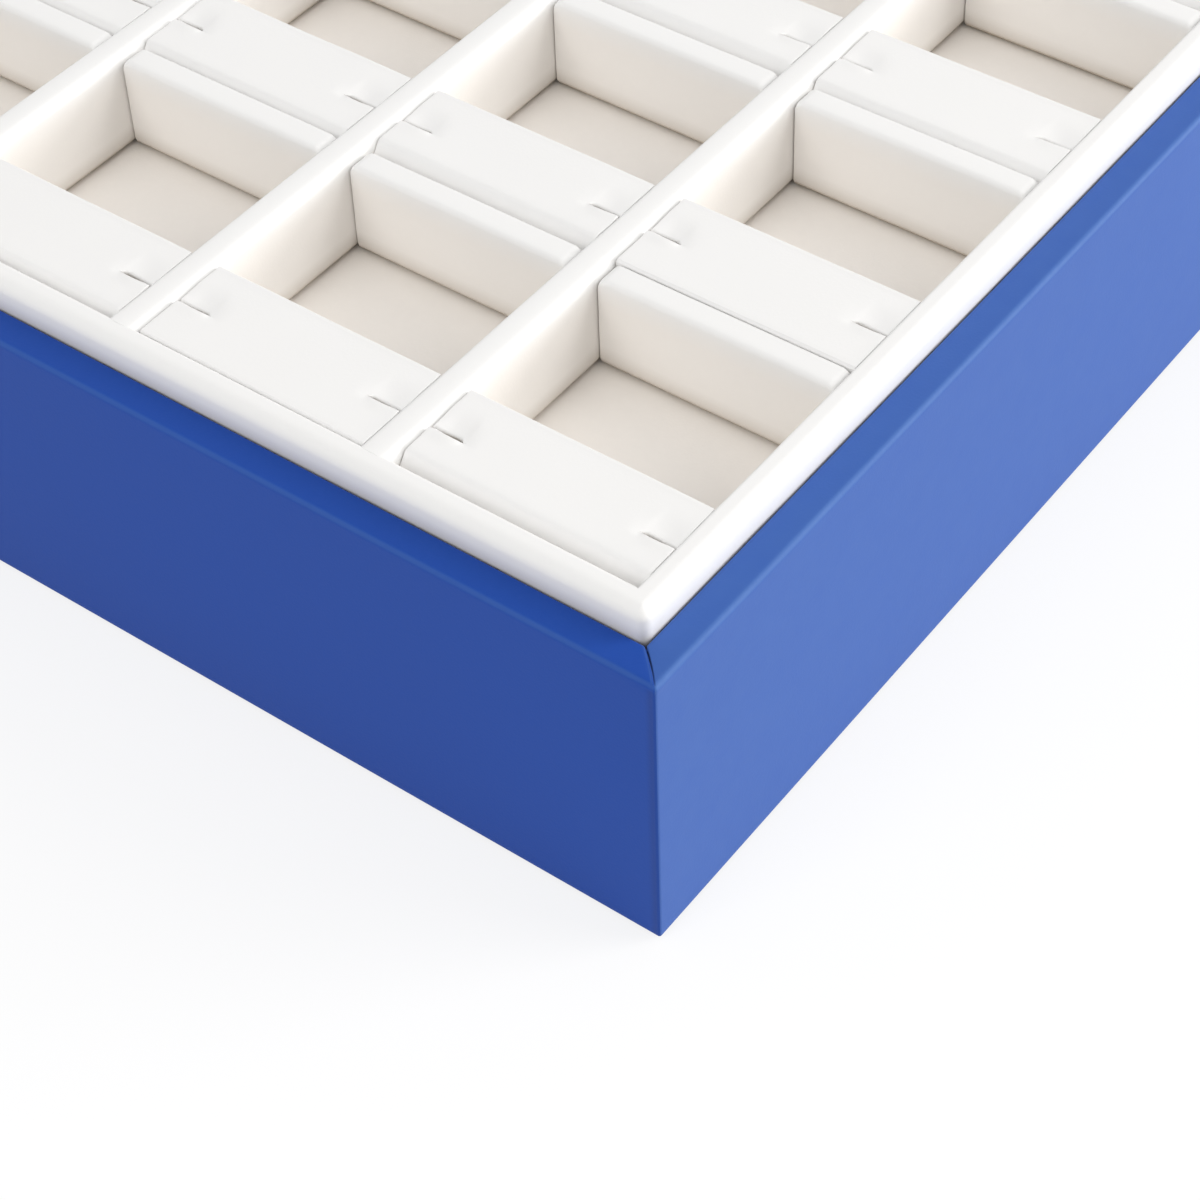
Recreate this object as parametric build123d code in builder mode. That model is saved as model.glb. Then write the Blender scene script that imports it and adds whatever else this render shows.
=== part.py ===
"""Earring display tray: a blue leatherette casing round a white leatherette insert of small cells.

Rails run front to back, short dividers cross between them, and every cell holds a loose bridge pad
with a slit at each end for a pair of earrings. Millimetres, +Z up, the origin in the middle of the
underside, +X to the right along the front wall and +Y towards the back.
"""

from build123d import *
from math import sqrt
import os

# The grid of cells.
columns = 4
rows = 4
cell_width = 40.7  # clear, between two rails
cell_length = 45.9  # clear, between two dividers
well_depth = 17.0  # from the top of the rails down to the cell floor

# The white boards of the insert, each with its covering.
frame_thickness = 3.9
frame_corner_radius = 1.7
frame_edge_radius = 1.4
rail_thickness = 5.2
rail_edge_radius = 1.8
divider_thickness = 4.4
divider_drop = 0.5  # the divider tops lie this much under the rails
divider_end_gap = 0.15  # between a divider's end and the rail
divider_corner_radius = 1.6
divider_edge_radius = 0.7
floor_thickness = 4.2

# The blue casing.
lip_height = 5.0  # how far the white frame stands above the blue ledge
insert_gap = 0.3  # round the insert, to the covering of the walls
wall_thickness = 3.7
wrap_thickness = 0.8
wrap_corner_radius = 1.2
wrap_edge_radius = 0.5
inner_turn_in = 14.0  # covering folded down inside the walls
base_turn_in = 12.0  # covering folded under the base
mitre_slit_width = 0.35
mitre_slit_stop = 0.6  # left uncut, short of the soft outer edge
riser_thickness = 4.0
riser_height = 30.0  # the strips that hold the insert up
base_thickness = 5.0
lining_thickness = 0.5
lining_inset = 3.0

# The bridge pads.
pad_depth = 16.9  # front to back
pad_drop = 0.3  # the pad tops lie this much under the rails
pad_end_gap = 0.4  # to the rail at each end
pad_front_gap = 0.5  # to the frame or divider in front
pad_plate_thickness = 3.0
pad_leg_thickness = 2.4
pad_front_radius = 3.0
pad_rear_radius = 1.0
pad_inner_radius = 0.8
pad_end_radius = 0.6
slit_width = 0.7
slit_length = 6.2
slit_setback = 8.1  # from the pad's front face
scoop_depth = 1.3  # the droop of the covering behind a slit
scoop_reach = 4.6  # back from the slit
scoop_tip_share = 0.05  # how much of the droop is left at the slit's tip

# Levels above the surface that the tray stands on.
wrap_bottom = lining_thickness
base_bottom = wrap_bottom + wrap_thickness
base_top = base_bottom + base_thickness
riser_top = base_top + riser_height
floor_top = riser_top + floor_thickness
rail_top = floor_top + well_depth
ledge_top = rail_top - lip_height
wall_top = ledge_top - wrap_thickness

# Plan sizes, from the cells outwards.
inner_width = columns * cell_width + (columns - 1) * rail_thickness
inner_length = rows * cell_length + (rows - 1) * divider_thickness
insert_width = inner_width + 2 * frame_thickness
insert_length = inner_length + 2 * frame_thickness
mouth_width = insert_width + 2 * insert_gap
mouth_length = insert_length + 2 * insert_gap
cavity_width = mouth_width + 2 * wrap_thickness
cavity_length = mouth_length + 2 * wrap_thickness
boards_width = cavity_width + 2 * wall_thickness
boards_length = cavity_length + 2 * wall_thickness
tray_width = boards_width + 2 * wrap_thickness
tray_length = boards_length + 2 * wrap_thickness

column_pitch = cell_width + rail_thickness
row_pitch = cell_length + divider_thickness
pad_width = cell_width - 2 * pad_end_gap
pad_height = well_depth - pad_drop
divider_width = cell_width - 2 * divider_end_gap
divider_height = well_depth - divider_drop


def column_centre(column):
    """X of the middle of a column, counted from 1 at the left."""
    return (column - (columns + 1) / 2) * column_pitch


def row_front(row):
    """Y of the front of a cell, counted from row 1 at the front."""
    return -inner_length / 2 + (row - 1) * row_pitch


def save(made, name):
    """Labels a finished piece and writes it to its own file."""
    made.part.label = name
    export_step(made.part, f"parts/{name}.step")


def save_board(name, width, length, height, centre):
    """A plain square-edged board, with centre in the middle of its underside."""
    with BuildPart() as board:
        with BuildSketch(Plane(centre)):
            Rectangle(width, length)
        extrude(amount=height)
    save(board, name)


def band(level, outside, inside):
    """The flat band between two rectangles in plan."""
    with BuildSketch(Plane.XY.offset(level)) as flat:
        Rectangle(*outside)
        Rectangle(*inside, mode=Mode.SUBTRACT)
    return flat.sketch


def make_lining():
    """The thin lining under the base. Its middle is pressed up inside the folded covering."""
    with BuildPart() as lining:
        with BuildSketch():
            Rectangle(tray_width - 2 * lining_inset, tray_length - 2 * lining_inset)
        extrude(amount=lining_thickness)
        with BuildSketch(Plane.XY.offset(lining_thickness)):
            Rectangle(tray_width - 2 * base_turn_in, tray_length - 2 * base_turn_in)
        extrude(amount=wrap_thickness)
    save(lining, "bottom_lining")


def make_wrap():
    """The blue covering: round the walls, over the ledge, down inside and under the base."""
    boards = (boards_width, boards_length)
    cavity = (cavity_width, cavity_length)
    mouth = (mouth_width, mouth_length)
    with BuildPart() as wrap:
        with BuildSketch(Plane.XY.offset(wrap_bottom)):
            RectangleRounded(tray_width, tray_length, wrap_corner_radius)
            Rectangle(*boards, mode=Mode.SUBTRACT)
        extrude(amount=ledge_top - wrap_bottom)
        extrude(band(wall_top, boards, mouth), amount=wrap_thickness)
        extrude(band(wall_top - inner_turn_in, cavity, mouth), amount=inner_turn_in)
        under = (tray_width - 2 * base_turn_in, tray_length - 2 * base_turn_in)
        extrude(band(wrap_bottom, boards, under), amount=wrap_thickness)
        ledge_edges = wrap.edges().group_by(Axis.Z)[-1]
        foot_edges = wrap.faces().sort_by(Axis.Z)[0].outer_wire().edges()
        fillet(ledge_edges + foot_edges, wrap_edge_radius)
        # The open mitre in the covering of the ledge, on the diagonal of each corner.
        ledge_width = (tray_width - mouth_width) / 2
        slit_run = sqrt(2) * (ledge_width - wrap_edge_radius - mitre_slit_stop)
        for side_x in (-1, 1):
            for side_y in (-1, 1):
                corner = (side_x * mouth_width / 2, side_y * mouth_length / 2, wall_top)
                with BuildSketch(Plane(corner, x_dir=(side_x, side_y, 0), z_dir=(0, 0, 1))):
                    with Locations((-mitre_slit_width, 0)):
                        slit_size = (slit_run + mitre_slit_width, mitre_slit_width)
                        Rectangle(*slit_size, align=(Align.MIN, Align.CENTER))
                extrude(amount=wrap_thickness, mode=Mode.SUBTRACT)
    save(wrap, "casing_wrap")


def make_casing_boards():
    """The base and the four walls that stand on it, the side walls between the other two."""
    height = wall_top - base_top
    y_wall = (boards_length - wall_thickness) / 2
    x_wall = (boards_width - wall_thickness) / 2
    save_board("base_board", boards_width, boards_length, base_thickness, (0, 0, base_bottom))
    save_board("wall_front", boards_width, wall_thickness, height, (0, -y_wall, base_top))
    save_board("wall_back", boards_width, wall_thickness, height, (0, y_wall, base_top))
    save_board("wall_left", wall_thickness, cavity_length, height, (-x_wall, 0, base_top))
    save_board("wall_right", wall_thickness, cavity_length, height, (x_wall, 0, base_top))


def make_risers():
    """Strips on edge that hold the insert up: one inside each wall, and one down the middle."""
    x_riser = (cavity_width - riser_thickness) / 2
    y_riser = (cavity_length - riser_thickness) / 2
    between = cavity_length - 2 * riser_thickness
    for name, width, length, x, y in (
        ("riser_front", cavity_width, riser_thickness, 0, -y_riser),
        ("riser_back", cavity_width, riser_thickness, 0, y_riser),
        ("riser_left", riser_thickness, between, -x_riser, 0),
        ("riser_right", riser_thickness, between, x_riser, 0),
        ("riser_middle", riser_thickness, between, 0, 0),
    ):
        save_board(name, width, length, riser_height, (x, y, base_top))


def make_floor():
    """The covered floor of the insert, which all its boards stand on."""
    save_board("insert_floor", insert_width, insert_length, floor_thickness, (0, 0, riser_top))


def make_frame():
    """The white frame round the cells: one soft-edged ring, cut into four sides at the mitres."""
    with BuildPart() as whole:
        with BuildSketch(Plane.XY.offset(floor_top)):
            RectangleRounded(insert_width, insert_length, frame_corner_radius)
            Rectangle(inner_width, inner_length, mode=Mode.SUBTRACT)
        extrude(amount=well_depth)
        fillet(whole.edges().group_by(Axis.Z)[-1], frame_edge_radius)
    half_x, half_y = insert_width / 2, insert_length / 2
    for name, outward, half_run, half_across in (
        ("frame_front", (0, -1, 0), half_x, half_y),
        ("frame_back", (0, 1, 0), half_x, half_y),
        ("frame_left", (-1, 0, 0), half_y, half_x),
        ("frame_right", (1, 0, 0), half_y, half_x),
    ):
        # A wedge in plan, wide enough to hold one side and cut it at 45 degrees at both ends.
        run = Vector(0, 0, 1).cross(Vector(*outward))
        wedge_depth = 2 * frame_thickness
        middle = Vector(*outward) * half_across + Vector(0, 0, floor_top)
        with BuildPart() as side:
            add(whole.part)
            with BuildSketch(Plane(middle, x_dir=run, z_dir=(0, 0, 1))):
                with BuildLine():
                    Polyline(
                        (-half_run, 0),
                        (half_run, 0),
                        (half_run - wedge_depth, wedge_depth),
                        (wedge_depth - half_run, wedge_depth),
                        close=True,
                    )
                make_face()
            extrude(amount=well_depth, mode=Mode.INTERSECT)
        save(side, name)


def make_rail(name, x):
    """A long board between two columns, front to back inside the frame."""
    with BuildPart() as rail:
        with BuildSketch(Plane((x, 0, floor_top))):
            Rectangle(rail_thickness, inner_length)
        extrude(amount=well_depth)
        top_edges = rail.edges().group_by(Axis.Z)[-1].filter_by(Axis.Y)
        fillet(top_edges, rail_edge_radius)
    save(rail, name)


def make_divider(name, x, y):
    """A short cross board between two rails, with y at its front face."""
    with BuildPart() as divider:
        with BuildSketch(Plane((x, y, floor_top), x_dir=(1, 0, 0), z_dir=(0, -1, 0))) as face:
            Rectangle(divider_width, divider_height, align=(Align.CENTER, Align.MIN))
            top_corners = face.vertices().group_by(Axis.Y)[-1]
            fillet(top_corners, divider_corner_radius)
        extrude(amount=-divider_thickness)
        top_edges = divider.edges().group_by(Axis.Z)[-1].filter_by(Axis.X)
        fillet(top_edges, divider_edge_radius)
    save(divider, name)


def make_pad(name, x, y):
    """A bridge pad on two legs, with y at its front face and a slit in its top at each end."""
    top = floor_top + pad_height
    left = x - pad_width / 2
    with BuildPart() as pad:
        # The section, with the local x running back and the local y up.
        section = Plane((left, y, floor_top), x_dir=(0, 1, 0), z_dir=(1, 0, 0))
        with BuildSketch(section) as outside:
            Rectangle(pad_depth, pad_height, align=(Align.MIN, Align.MIN))
            front_corner = outside.vertices().group_by(Axis.Y)[-1].sort_by(Axis.X)[0]
            fillet(front_corner, pad_front_radius)
            rear_corner = outside.vertices().group_by(Axis.X)[-1].sort_by(Axis.Y)[-1]
            fillet(rear_corner, pad_rear_radius)
        extrude(amount=pad_width)
        end_edges = pad.faces().filter_by(Axis.X).edges().filter_by(Axis.Z, reverse=True)
        end_edges = end_edges.filter_by(lambda edge: edge.center().Z > floor_top + pad_end_radius)
        fillet(end_edges, pad_end_radius)
        with BuildSketch(section) as hollow:
            hollow_depth = pad_depth - 2 * pad_leg_thickness
            hollow_height = pad_height - pad_plate_thickness
            with Locations((pad_leg_thickness, 0)):
                Rectangle(hollow_depth, hollow_height, align=(Align.MIN, Align.MIN))
            fillet(hollow.vertices().group_by(Axis.Y)[-1], pad_inner_radius)
        extrude(amount=pad_width, mode=Mode.SUBTRACT)
        for side in (-1, 1):
            end = x + side * pad_width / 2
            with BuildSketch(Plane((end, y + slit_setback, top))):
                Rectangle(2 * slit_length, slit_width)
            extrude(amount=-pad_plate_thickness, mode=Mode.SUBTRACT)
            # The covering droops behind the slit, most at the pad's end.
            tip = end - side * slit_length
            for scoop_x, share in ((end, 1), (tip, scoop_tip_share)):
                depth, reach = share * scoop_depth, share * scoop_reach
                scoop_origin = (scoop_x, y + slit_setback, top)
                with BuildSketch(Plane(scoop_origin, x_dir=(0, 1, 0), z_dir=(1, 0, 0))):
                    with BuildLine():
                        Polyline((0, depth), (0, -depth), (reach, 0), (reach, depth), close=True)
                    make_face()
            loft(mode=Mode.SUBTRACT)
    save(pad, name)


os.makedirs("parts", exist_ok=True)
make_lining()
make_wrap()
make_casing_boards()
make_risers()
make_floor()
make_frame()
for number in range(1, columns):
    make_rail(f"rail_{number}", column_centre(number) + column_pitch / 2)
for row in range(1, rows + 1):
    for column in range(1, columns + 1):
        place = f"row{row}_column{column}"
        if row < rows:
            divider_front = row_front(row) + cell_length
            make_divider(f"divider_{place}", column_centre(column), divider_front)
        make_pad(f"pad_{place}", column_centre(column), row_front(row) + pad_front_gap)
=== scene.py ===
"""Earring display tray: the finish of every piece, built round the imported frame.

The blue casing, the white frame, the rails, the dividers and the bridge pads are remade here as soft
covered boards. The grey boards, the risers and the lining keep their solids and get their own
finish. Lengths are in metres.
"""

import math
import random

import bmesh
import bpy
from mathutils import Matrix, Vector, noise


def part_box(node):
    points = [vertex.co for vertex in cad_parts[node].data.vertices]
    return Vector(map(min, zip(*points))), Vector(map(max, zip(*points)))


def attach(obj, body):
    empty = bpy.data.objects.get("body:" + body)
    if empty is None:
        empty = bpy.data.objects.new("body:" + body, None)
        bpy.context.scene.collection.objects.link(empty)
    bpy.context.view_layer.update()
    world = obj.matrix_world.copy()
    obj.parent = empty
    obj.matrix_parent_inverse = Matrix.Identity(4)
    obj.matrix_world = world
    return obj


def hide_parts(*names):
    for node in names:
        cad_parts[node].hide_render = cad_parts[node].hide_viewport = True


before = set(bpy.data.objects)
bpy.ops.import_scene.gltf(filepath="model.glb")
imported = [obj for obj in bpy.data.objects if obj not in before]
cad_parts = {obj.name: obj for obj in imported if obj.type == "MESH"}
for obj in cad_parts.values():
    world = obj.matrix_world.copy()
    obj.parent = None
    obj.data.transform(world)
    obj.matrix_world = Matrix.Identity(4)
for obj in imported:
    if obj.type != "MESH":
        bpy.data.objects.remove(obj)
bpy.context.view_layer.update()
MM = 0.001


# Helpers for places and shapes.


def box_of(node):
    """The lowest and highest corner of a node, as vectors."""
    low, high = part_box(node)
    return Vector(low), Vector(high)


def ease(share):
    """A smooth step from 0 to 1."""
    share = min(max(share, 0.0), 1.0)
    return share * share * (3 - 2 * share)


def spread(start, end, step):
    """Evenly spaced values from start to end, both included, at most step apart."""
    count = max(1, math.ceil(abs(end - start) / step))
    return [start + (end - start) * i / count for i in range(count + 1)]


def unevenness(point, size, depth, seed):
    """How far a hand-covered surface stands off its true place, for a wave of the given size."""
    return depth * noise.noise(point / size + Vector((seed * 7.3, seed * 3.1, seed * 5.7)))


def make_piece(name, points, faces, body, material, sharp=40):
    """A mesh object from points and faces, smooth but for its sharp edges, riding on a body."""
    mesh = bpy.data.meshes.new(name)
    mesh.from_pydata(points, [], faces)
    tidy = bmesh.new()
    tidy.from_mesh(mesh)
    bmesh.ops.remove_doubles(tidy, verts=tidy.verts, dist=0.002 * MM)
    loose = [vertex for vertex in tidy.verts if not vertex.link_faces]
    bmesh.ops.delete(tidy, geom=loose, context="VERTS")
    bmesh.ops.recalc_face_normals(tidy, faces=tidy.faces)
    tidy.to_mesh(mesh)
    tidy.free()
    mesh.shade_smooth()
    mesh.set_sharp_from_angle(angle=math.radians(sharp))
    mesh.materials.append(material)
    piece = bpy.data.objects.new(name, mesh)
    bpy.context.scene.collection.objects.link(piece)
    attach(piece, body)
    return piece


def quad(first, second, j, k):
    """The face between points j and k of two loops, whose points start at first and second."""
    return (first + j, first + k, second + k, second + j)


def loft(loops):
    """Points and faces through closed loops of equal length, with an end face at each end."""
    count = len(loops[0])
    points = [point for loop in loops for point in loop]
    faces = []
    for i in range(len(loops) - 1):
        for j in range(count):
            faces.append(quad(i * count, (i + 1) * count, j, (j + 1) % count))
    faces.append(tuple(range(count)))
    faces.append(tuple((len(loops) - 1) * count + j for j in range(count)))
    return points, faces


def arc(centre_a, centre_b, radius, from_degrees, to_degrees, steps):
    """Points (a, b) along an arc, both ends included."""
    points = []
    for i in range(steps + 1):
        angle = math.radians(from_degrees + (to_degrees - from_degrees) * i / steps)
        points.append((centre_a + radius * math.cos(angle), centre_b + radius * math.sin(angle)))
    return points


# Shader node groups for the effects that several finishes share.


class Nodes:
    """A short way to add nodes to a node tree and to join them."""

    def __init__(self, tree):
        self.tree = tree

    def add(self, kind, **settings):
        node = self.tree.nodes.new(kind)
        for key, value in settings.items():
            setattr(node, key, value)
        return node

    def join(self, source, target):
        self.tree.links.new(source, target)

    def put(self, value, socket):
        """Joins an output to a socket, or sets the socket to a plain value."""
        if isinstance(value, bpy.types.NodeSocket):
            self.join(value, socket)
        else:
            socket.default_value = value

    def feed(self, node, **values):
        """Sets or joins inputs by name, with underscores for spaces."""
        for key, value in values.items():
            self.put(value, node.inputs[key.replace("_", " ")])
        return node

    def maths(self, operation, a, b=0.0, clamp=False):
        node = self.add("ShaderNodeMath", operation=operation, use_clamp=clamp)
        self.put(a, node.inputs[0])
        self.put(b, node.inputs[1])
        return node.outputs[0]

    def mixed(self, factor, colour_a, colour_b):
        """Colour a where the factor is 0 and colour b where it is 1."""
        node = self.add("ShaderNodeMix", data_type="RGBA")
        # A mix node has a set of sockets for each kind of value. These are its factor and colours.
        self.put(factor, node.inputs[0])
        self.put(colour_a, node.inputs[6])
        self.put(colour_b, node.inputs[7])
        return node.outputs[2]

    def place(self):
        return self.add("ShaderNodeTexCoord").outputs["Object"]


def new_group(name, inputs, outputs):
    """An empty node group with named sockets, as its nodes, its input node and its output node."""
    tree = bpy.data.node_groups.new(name, "ShaderNodeTree")
    for label, kind, value in inputs:
        socket = tree.interface.new_socket(label, in_out="INPUT", socket_type=kind)
        socket.default_value = value
    for label, kind in outputs:
        tree.interface.new_socket(label, in_out="OUTPUT", socket_type=kind)
    nodes = Nodes(tree)
    return nodes, nodes.add("NodeGroupInput").outputs, nodes.add("NodeGroupOutput").inputs


def make_grain_group():
    """The fine pebble of pressed leatherette, with soft swells under it, as a height."""
    nodes, given, out = new_group(
        "leatherette grain",
        [
            ("Pebbles per mm", "NodeSocketFloat", 2.2),
            ("Pebble depth", "NodeSocketFloat", 0.4),
            ("Swell depth", "NodeSocketFloat", 1.0),
        ],
        [("Height", "NodeSocketFloat")],
    )
    place = nodes.place()
    per_metre = nodes.maths("MULTIPLY", given["Pebbles per mm"], 1000.0)
    cells = nodes.add("ShaderNodeTexVoronoi", feature="F1")
    nodes.feed(cells, Vector=place, Scale=per_metre, Randomness=1.0)
    fuzz = nodes.add("ShaderNodeTexNoise")
    nodes.feed(fuzz, Vector=place, Detail=3.0, Roughness=0.6)
    nodes.feed(fuzz, Scale=nodes.maths("MULTIPLY", per_metre, 0.35))
    swell = nodes.add("ShaderNodeTexNoise")
    nodes.feed(swell, Vector=place, Scale=55.0, Detail=2.0, Roughness=0.5)
    pebble = nodes.maths("ADD", cells.outputs["Distance"], nodes.maths("MULTIPLY", fuzz.outputs[0], 0.7))
    fine = nodes.maths("MULTIPLY", pebble, given["Pebble depth"])
    broad = nodes.maths("MULTIPLY", swell.outputs[0], given["Swell depth"])
    nodes.join(nodes.maths("ADD", fine, broad), out["Height"])
    return nodes.tree


def make_tone_group():
    """A colour that wanders a little over the surface, in broad clouds and fine mottle."""
    nodes, given, out = new_group(
        "uneven tone",
        [
            ("Colour", "NodeSocketColor", (0.8, 0.8, 0.8, 1)),
            ("Cloud", "NodeSocketFloat", 0.04),
            ("Mottle", "NodeSocketFloat", 0.02),
        ],
        [("Colour", "NodeSocketColor"), ("Wander", "NodeSocketFloat")],
    )
    place = nodes.place()
    clouds = nodes.feed(nodes.add("ShaderNodeTexNoise"), Vector=place, Scale=28.0, Detail=2.0)
    mottle = nodes.feed(nodes.add("ShaderNodeTexNoise"), Vector=place, Scale=900.0, Detail=3.0)
    broad = nodes.maths("MULTIPLY", nodes.maths("SUBTRACT", clouds.outputs[0], 0.5), given["Cloud"])
    fine = nodes.maths("MULTIPLY", nodes.maths("SUBTRACT", mottle.outputs[0], 0.5), given["Mottle"])
    wander = nodes.maths("MULTIPLY", nodes.maths("ADD", broad, fine), 2.0)
    level = nodes.maths("ADD", wander, 1.0)
    bright = nodes.add("ShaderNodeHueSaturation")
    nodes.feed(bright, Color=given["Colour"], Value=level)
    nodes.join(bright.outputs[0], out["Colour"])
    nodes.join(wander, out["Wander"])
    return nodes.tree


def make_painted_light_group():
    """A paler colour where a piece marks painted light: painted highlights, painted sheen and tops painted
    as lit. Its mask also makes the finish slightly polished.
    """
    nodes, given, out = new_group(
        "painted light",
        [
            ("Colour", "NodeSocketColor", (0.8, 0.8, 0.8, 1)),
            ("Rubbed colour", "NodeSocketColor", (1, 1, 1, 1)),
            ("Amount", "NodeSocketFloat", 0.3),
            ("Patchiness", "NodeSocketFloat", 0.5),
        ],
        [("Colour", "NodeSocketColor"), ("Mask", "NodeSocketFloat")],
    )
    painted_light = nodes.add("ShaderNodeAttribute", attribute_name="painted_light").outputs["Fac"]
    patch = nodes.feed(nodes.add("ShaderNodeTexNoise"), Vector=nodes.place(), Scale=260.0, Detail=2.0)
    uneven = nodes.maths("MULTIPLY", nodes.maths("SUBTRACT", patch.outputs[0], 0.5), given["Patchiness"])
    broken = nodes.maths("MULTIPLY", painted_light, nodes.maths("ADD", uneven, 1.0))
    mask = nodes.maths("MULTIPLY", broken, given["Amount"], clamp=True)
    nodes.join(nodes.mixed(mask, given["Colour"], given["Rubbed colour"]), out["Colour"])
    nodes.join(mask, out["Mask"])
    return nodes.tree


def make_painted_shade_group():
    """Painted shade: a darker colour where a piece marks shade, down in the folds, slits, seams and gaps it
    has.
    """
    nodes, given, out = new_group(
        "painted shade",
        [
            ("Colour", "NodeSocketColor", (0.8, 0.8, 0.8, 1)),
            ("Crease colour", "NodeSocketColor", (0.3, 0.2, 0.1, 1)),
            ("Amount", "NodeSocketFloat", 1.0),
        ],
        [("Colour", "NodeSocketColor")],
    )
    painted_shade = nodes.add("ShaderNodeAttribute", attribute_name="painted_shade").outputs["Fac"]
    mask = nodes.maths("MULTIPLY", painted_shade, given["Amount"], clamp=True)
    nodes.join(nodes.mixed(mask, given["Colour"], given["Crease colour"]), out["Colour"])
    return nodes.tree


def make_dust_group():
    """A few tiny pale specks of dust."""
    nodes, given, out = new_group(
        "dust specks",
        [
            ("Colour", "NodeSocketColor", (0.8, 0.8, 0.8, 1)),
            ("Dust colour", "NodeSocketColor", (0.6, 0.66, 0.8, 1)),
            ("Specks per m", "NodeSocketFloat", 120.0),
            ("Share", "NodeSocketFloat", 0.1),
            ("Radius", "NodeSocketFloat", 0.02),
        ],
        [("Colour", "NodeSocketColor")],
    )
    cells = nodes.add("ShaderNodeTexVoronoi", feature="F1")
    nodes.feed(cells, Vector=nodes.place(), Scale=given["Specks per m"], Randomness=1.0)
    chance = nodes.add("ShaderNodeSeparateColor")
    nodes.join(cells.outputs["Color"], chance.inputs[0])
    chosen = nodes.maths("LESS_THAN", chance.outputs[0], given["Share"])
    size = nodes.maths("MULTIPLY", given["Radius"], nodes.maths("ADD", chance.outputs[1], 0.3))
    close = nodes.maths("LESS_THAN", cells.outputs["Distance"], size)
    mask = nodes.maths("MULTIPLY", chosen, close)
    nodes.join(nodes.mixed(mask, given["Colour"], given["Dust colour"]), out["Colour"])
    return nodes.tree


grain_group = make_grain_group()
tone_group = make_tone_group()
painted_light_group = make_painted_light_group()
painted_shade_group = make_painted_shade_group()
dust_group = make_dust_group()


def empty_material(name):
    """A material with nothing in it but its output, as the material, its nodes and that output."""
    material = bpy.data.materials.new(name)
    material.use_nodes = True
    material.node_tree.nodes.clear()
    nodes = Nodes(material.node_tree)
    return material, nodes, nodes.add("ShaderNodeOutputMaterial").inputs[0]


def new_finish(name):
    """A plain finish, as its material, its nodes and its shader."""
    material, nodes, surface = empty_material(name)
    shader = nodes.add("ShaderNodeBsdfPrincipled")
    nodes.join(shader.outputs[0], surface)
    return material, nodes, shader


def grouped(nodes, tree, **values):
    """A node group placed in a finish with its own values."""
    node = nodes.add("ShaderNodeGroup", node_tree=tree)
    return nodes.feed(node, **values)


def leatherette(name, tones, painted_light, patchiness, roughness, bumps, wander, dust, specular, sheen=0.0):
    """Matte polyurethane leatherette: even colour, fine pebble, soft swells, and painted light and painted
    shade where a piece marks them.
    """
    colour, lit_colour, painted_shade = tones
    pebble, swell = bumps
    cloud, mottle = wander
    material, nodes, shader = new_finish(name)
    tone = grouped(nodes, tone_group, Colour=colour, Cloud=cloud, Mottle=mottle)
    # Painted light, then painted shade, from the marks that a piece stores on its points.
    lit_tone = grouped(nodes, painted_light_group, Colour=tone.outputs["Colour"], Rubbed_colour=lit_colour, Amount=painted_light)
    nodes.feed(lit_tone, Patchiness=patchiness)
    creased = grouped(nodes, painted_shade_group, Colour=lit_tone.outputs["Colour"], Crease_colour=painted_shade)
    specks = grouped(nodes, dust_group, Colour=creased.outputs["Colour"], Share=dust)
    grain = grouped(nodes, grain_group, Pebble_depth=pebble, Swell_depth=swell)
    bump = nodes.add("ShaderNodeBump")
    nodes.feed(bump, Strength=0.35, Distance=0.05 * MM, Height=grain.outputs["Height"])
    polish = nodes.maths("MULTIPLY", lit_tone.outputs["Mask"], -0.08)
    drift = nodes.maths("MULTIPLY", tone.outputs["Wander"], 0.6)
    rough = nodes.maths("ADD", nodes.maths("ADD", polish, drift), roughness)
    nodes.feed(shader, Base_Color=specks.outputs["Colour"], Roughness=rough, Normal=bump.outputs[0])
    nodes.feed(shader, Specular_IOR_Level=specular, Sheen_Weight=sheen, Sheen_Roughness=0.5)
    return material


def greyboard_finish():
    """Dense grey board with pale and dark fibres."""
    material, nodes, shader = new_finish("greyboard")
    tone = grouped(nodes, tone_group, Colour=(0.36, 0.335, 0.3, 1), Cloud=0.06, Mottle=0.12)
    fibres = nodes.add("ShaderNodeTexNoise")
    stretch = nodes.add("ShaderNodeMapping")
    nodes.feed(stretch, Vector=nodes.place(), Scale=(300.0, 900.0, 2200.0))
    nodes.feed(fibres, Vector=stretch.outputs[0], Scale=1.0, Detail=4.0, Distortion=1.5)
    pale = nodes.maths("GREATER_THAN", fibres.outputs[0], 0.63)
    fibre_share = nodes.maths("MULTIPLY", pale, 0.5)
    colour = nodes.mixed(fibre_share, tone.outputs["Colour"], (0.52, 0.5, 0.46, 1))
    bump = nodes.add("ShaderNodeBump")
    nodes.feed(bump, Strength=0.5, Distance=0.05 * MM, Height=fibres.outputs[0])
    nodes.feed(shader, Base_Color=colour, Roughness=0.9, Normal=bump.outputs[0], Specular_IOR_Level=0.2)
    return material


def lining_finish():
    """Dark blue lining paper with a fine felt."""
    material, nodes, shader = new_finish("lining_paper")
    tone = grouped(nodes, tone_group, Colour=(0.03, 0.05, 0.13, 1), Cloud=0.08, Mottle=0.15)
    felt = nodes.feed(nodes.add("ShaderNodeTexNoise"), Vector=nodes.place(), Scale=2500.0, Detail=4.0)
    bump = nodes.add("ShaderNodeBump")
    nodes.feed(bump, Strength=0.4, Distance=0.05 * MM, Height=felt.outputs[0])
    nodes.feed(shader, Base_Color=tone.outputs["Colour"], Roughness=0.85, Normal=bump.outputs[0])
    return material


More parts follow.
